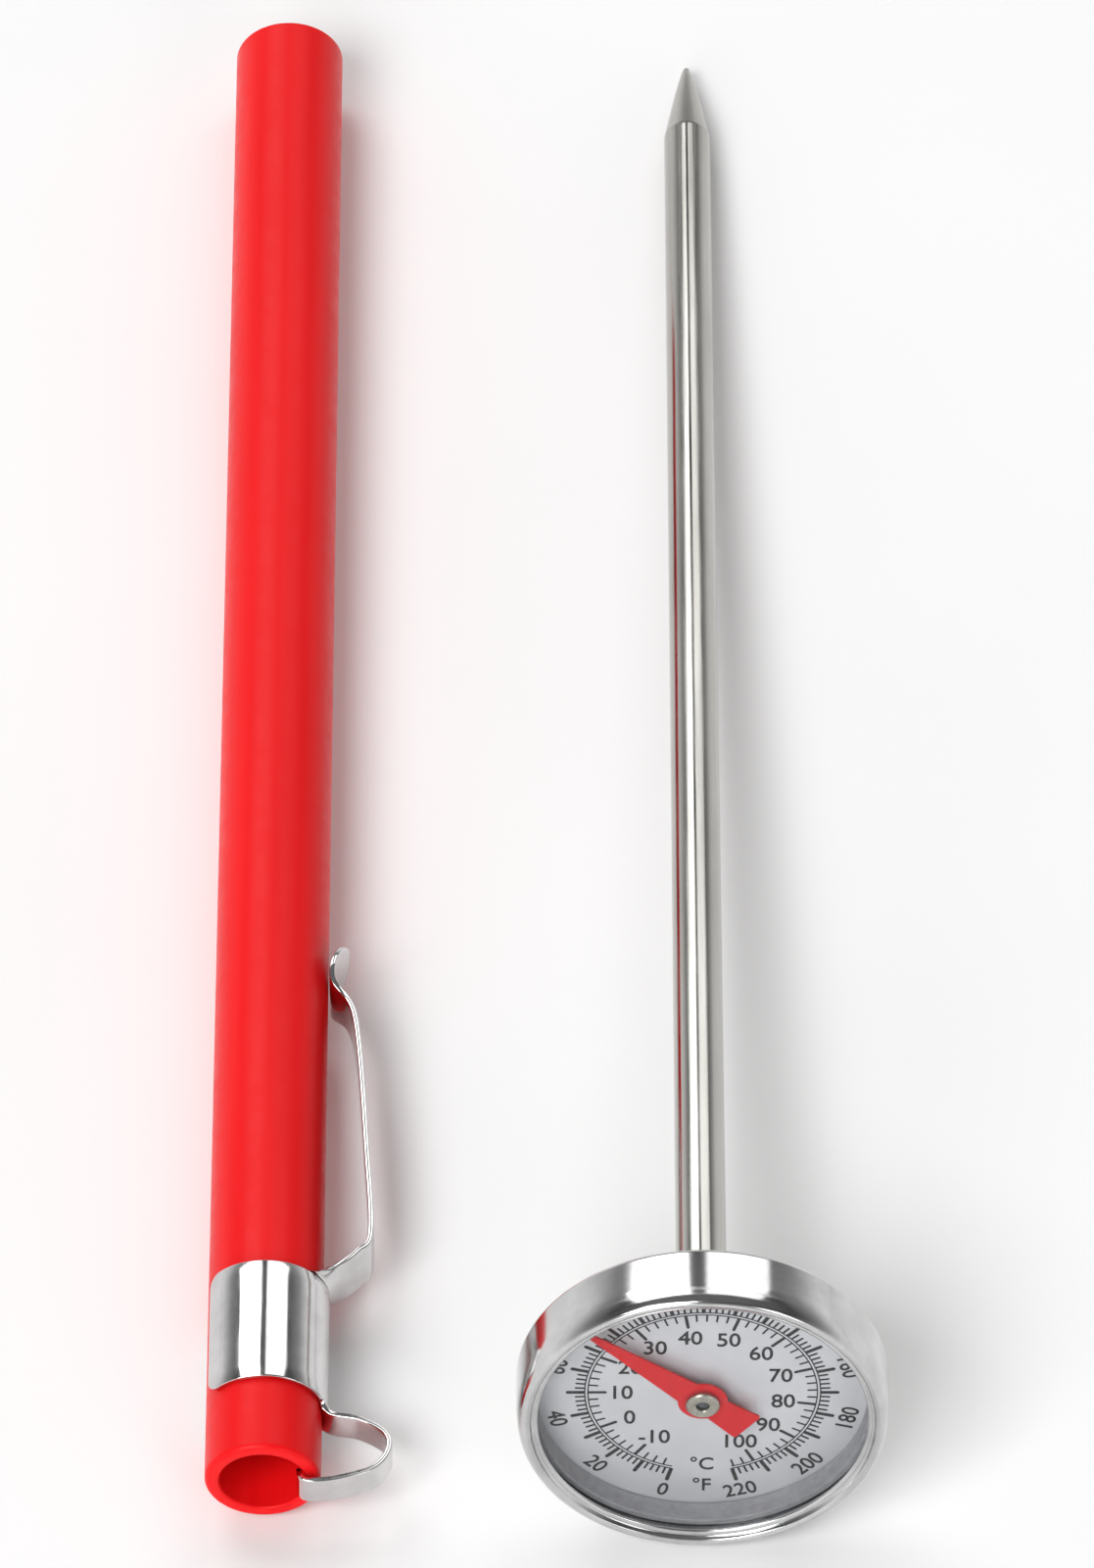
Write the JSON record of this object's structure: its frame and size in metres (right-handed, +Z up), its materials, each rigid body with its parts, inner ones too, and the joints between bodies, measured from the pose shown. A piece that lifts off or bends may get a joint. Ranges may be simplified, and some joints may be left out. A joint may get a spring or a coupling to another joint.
{
  "type": "meat thermometer",
  "caption": "Pocket meat thermometer: round dial head with a hex nut on a slim pointed stem, lying beside its tubular sheath with a spring pocket clip and holding loop.",
  "frame": {"origin": "On the table, under the middle of the box that holds the thermometer and its sheath.", "axes": "+Z up from the table; +Y along both pieces, from the dial and the sheath's mouth towards the stem's tip; +X from the sheath to the thermometer."},
  "size_m": [0.0466, 0.1386, 0.0255],
  "materials": {
    "case_steel": "pressed and polished stainless steel with faint turning lines",
    "bezel_steel": "spun and polished stainless steel",
    "lens_clear": "clear, slightly domed, glossy",
    "gasket_rubber": "matt grey seal",
    "dial_face": "satin silver print with black scales",
    "inner_brass": "turned brass",
    "nut_steel": "turned and tumbled steel, slightly warm",
    "spring_steel": "plain spring steel",
    "stem_steel": "drawn stainless tube, fine polish",
    "pointer_red": "red paint, satin",
    "hub_steel": "turned rivet",
    "bimetal": "heat-toned bimetal strip",
    "sheath_red": "moulded red plastic, half gloss",
    "clip_chrome": "bright plated spring steel"
  },
  "bodies": {
    "stem": {"hex_nut": "nut_steel", "stem_bushing": "inner_brass", "stem_tube": "stem_steel", "calibration_washer": "spring_steel", "retaining_ring": "spring_steel", "shaft_guide_upper": "inner_brass", "shaft_guide_middle": "inner_brass", "bimetal_coil": "bimetal", "coil_anchor": "inner_brass"},
    "head": {"case_back": "case_steel", "bezel_ring": "bezel_steel", "lens": "lens_clear", "lens_gasket": "gasket_rubber", "dial_plate": "dial_face", "dial_spacer": "inner_brass"},
    "movement": {"pointer_shaft": "spring_steel", "pointer": "pointer_red", "pointer_hub": "hub_steel", "coil_collar": "inner_brass"},
    "sheath": {"sheath_tube": "sheath_red", "clip_band": "clip_chrome", "clip_loop": "clip_chrome"},
    "clip_arm": {"clip_arm": "clip_chrome"}
  },
  "joints": [
    {"name": "calibration_turn", "type": "hinge", "parent": "stem", "child": "head", "pos_m": [0.01066, -0.06517, 0.01272], "axis": [0, -0.9963, 0.0859], "continuous": true},
    {"name": "pointer_turn", "type": "hinge", "parent": "stem", "child": "movement", "pos_m": [0.01066, -0.06517, 0.01272], "axis": [0, 0.9963, -0.0859], "range_deg": [-115.5, 214.5], "stiffness_Nm_per_rad": 0.00005},
    {"name": "sheath_lift", "type": "slide", "parent": "stem", "child": "sheath", "axis": [0, 0, 1], "range_m": [0, 0.04]},
    {"name": "clip_arm_flex", "type": "hinge", "parent": "sheath", "child": "clip_arm", "pos_m": [-0.01507, -0.05074, 0.00444], "axis": [0, 0, -1], "range_deg": [0, 8], "stiffness_Nm_per_rad": 0.6, "springref_deg": -2.29}
  ]
}
